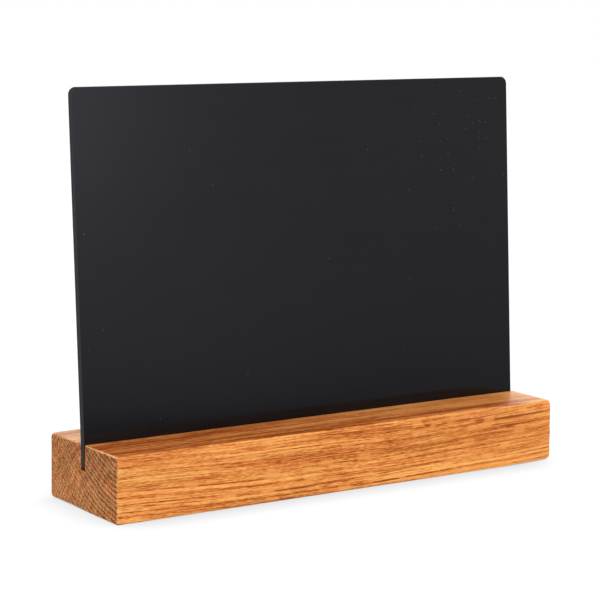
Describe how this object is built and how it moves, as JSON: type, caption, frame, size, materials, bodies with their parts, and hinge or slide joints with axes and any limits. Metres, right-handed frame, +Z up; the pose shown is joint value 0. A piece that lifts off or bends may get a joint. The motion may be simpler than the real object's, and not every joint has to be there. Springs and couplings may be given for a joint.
{
  "type": "tabletop chalkboard",
  "caption": "Black landscape writing panel with round corners, standing and leaning back slightly in a saw cut along the top of a solid oak block, for chalk notes on a desk.",
  "frame": {"origin": "middle of the block's underside, on the surface that it stands on", "axes": "+Z up, +X along the block (its length), +Y to the back, so the writing face looks towards -Y"},
  "size_m": [0.211, 0.057, 0.1647],
  "materials": {
    "oiled_oak": "oiled solid oak, warm brown, with fine dark pores and a soft sheen",
    "chalkboard_black": "matte black chalkboard coating on thin hard board"
  },
  "bodies": {
    "base": {"base_block": "oiled_oak"},
    "panel": {"chalk_panel": "chalkboard_black"}
  },
  "joints": [
    {"name": "panel_lift", "type": "slide", "parent": "base", "child": "panel", "axis": [0, 0.0401, 0.9992], "range_m": [0, 0.025]}
  ]
}
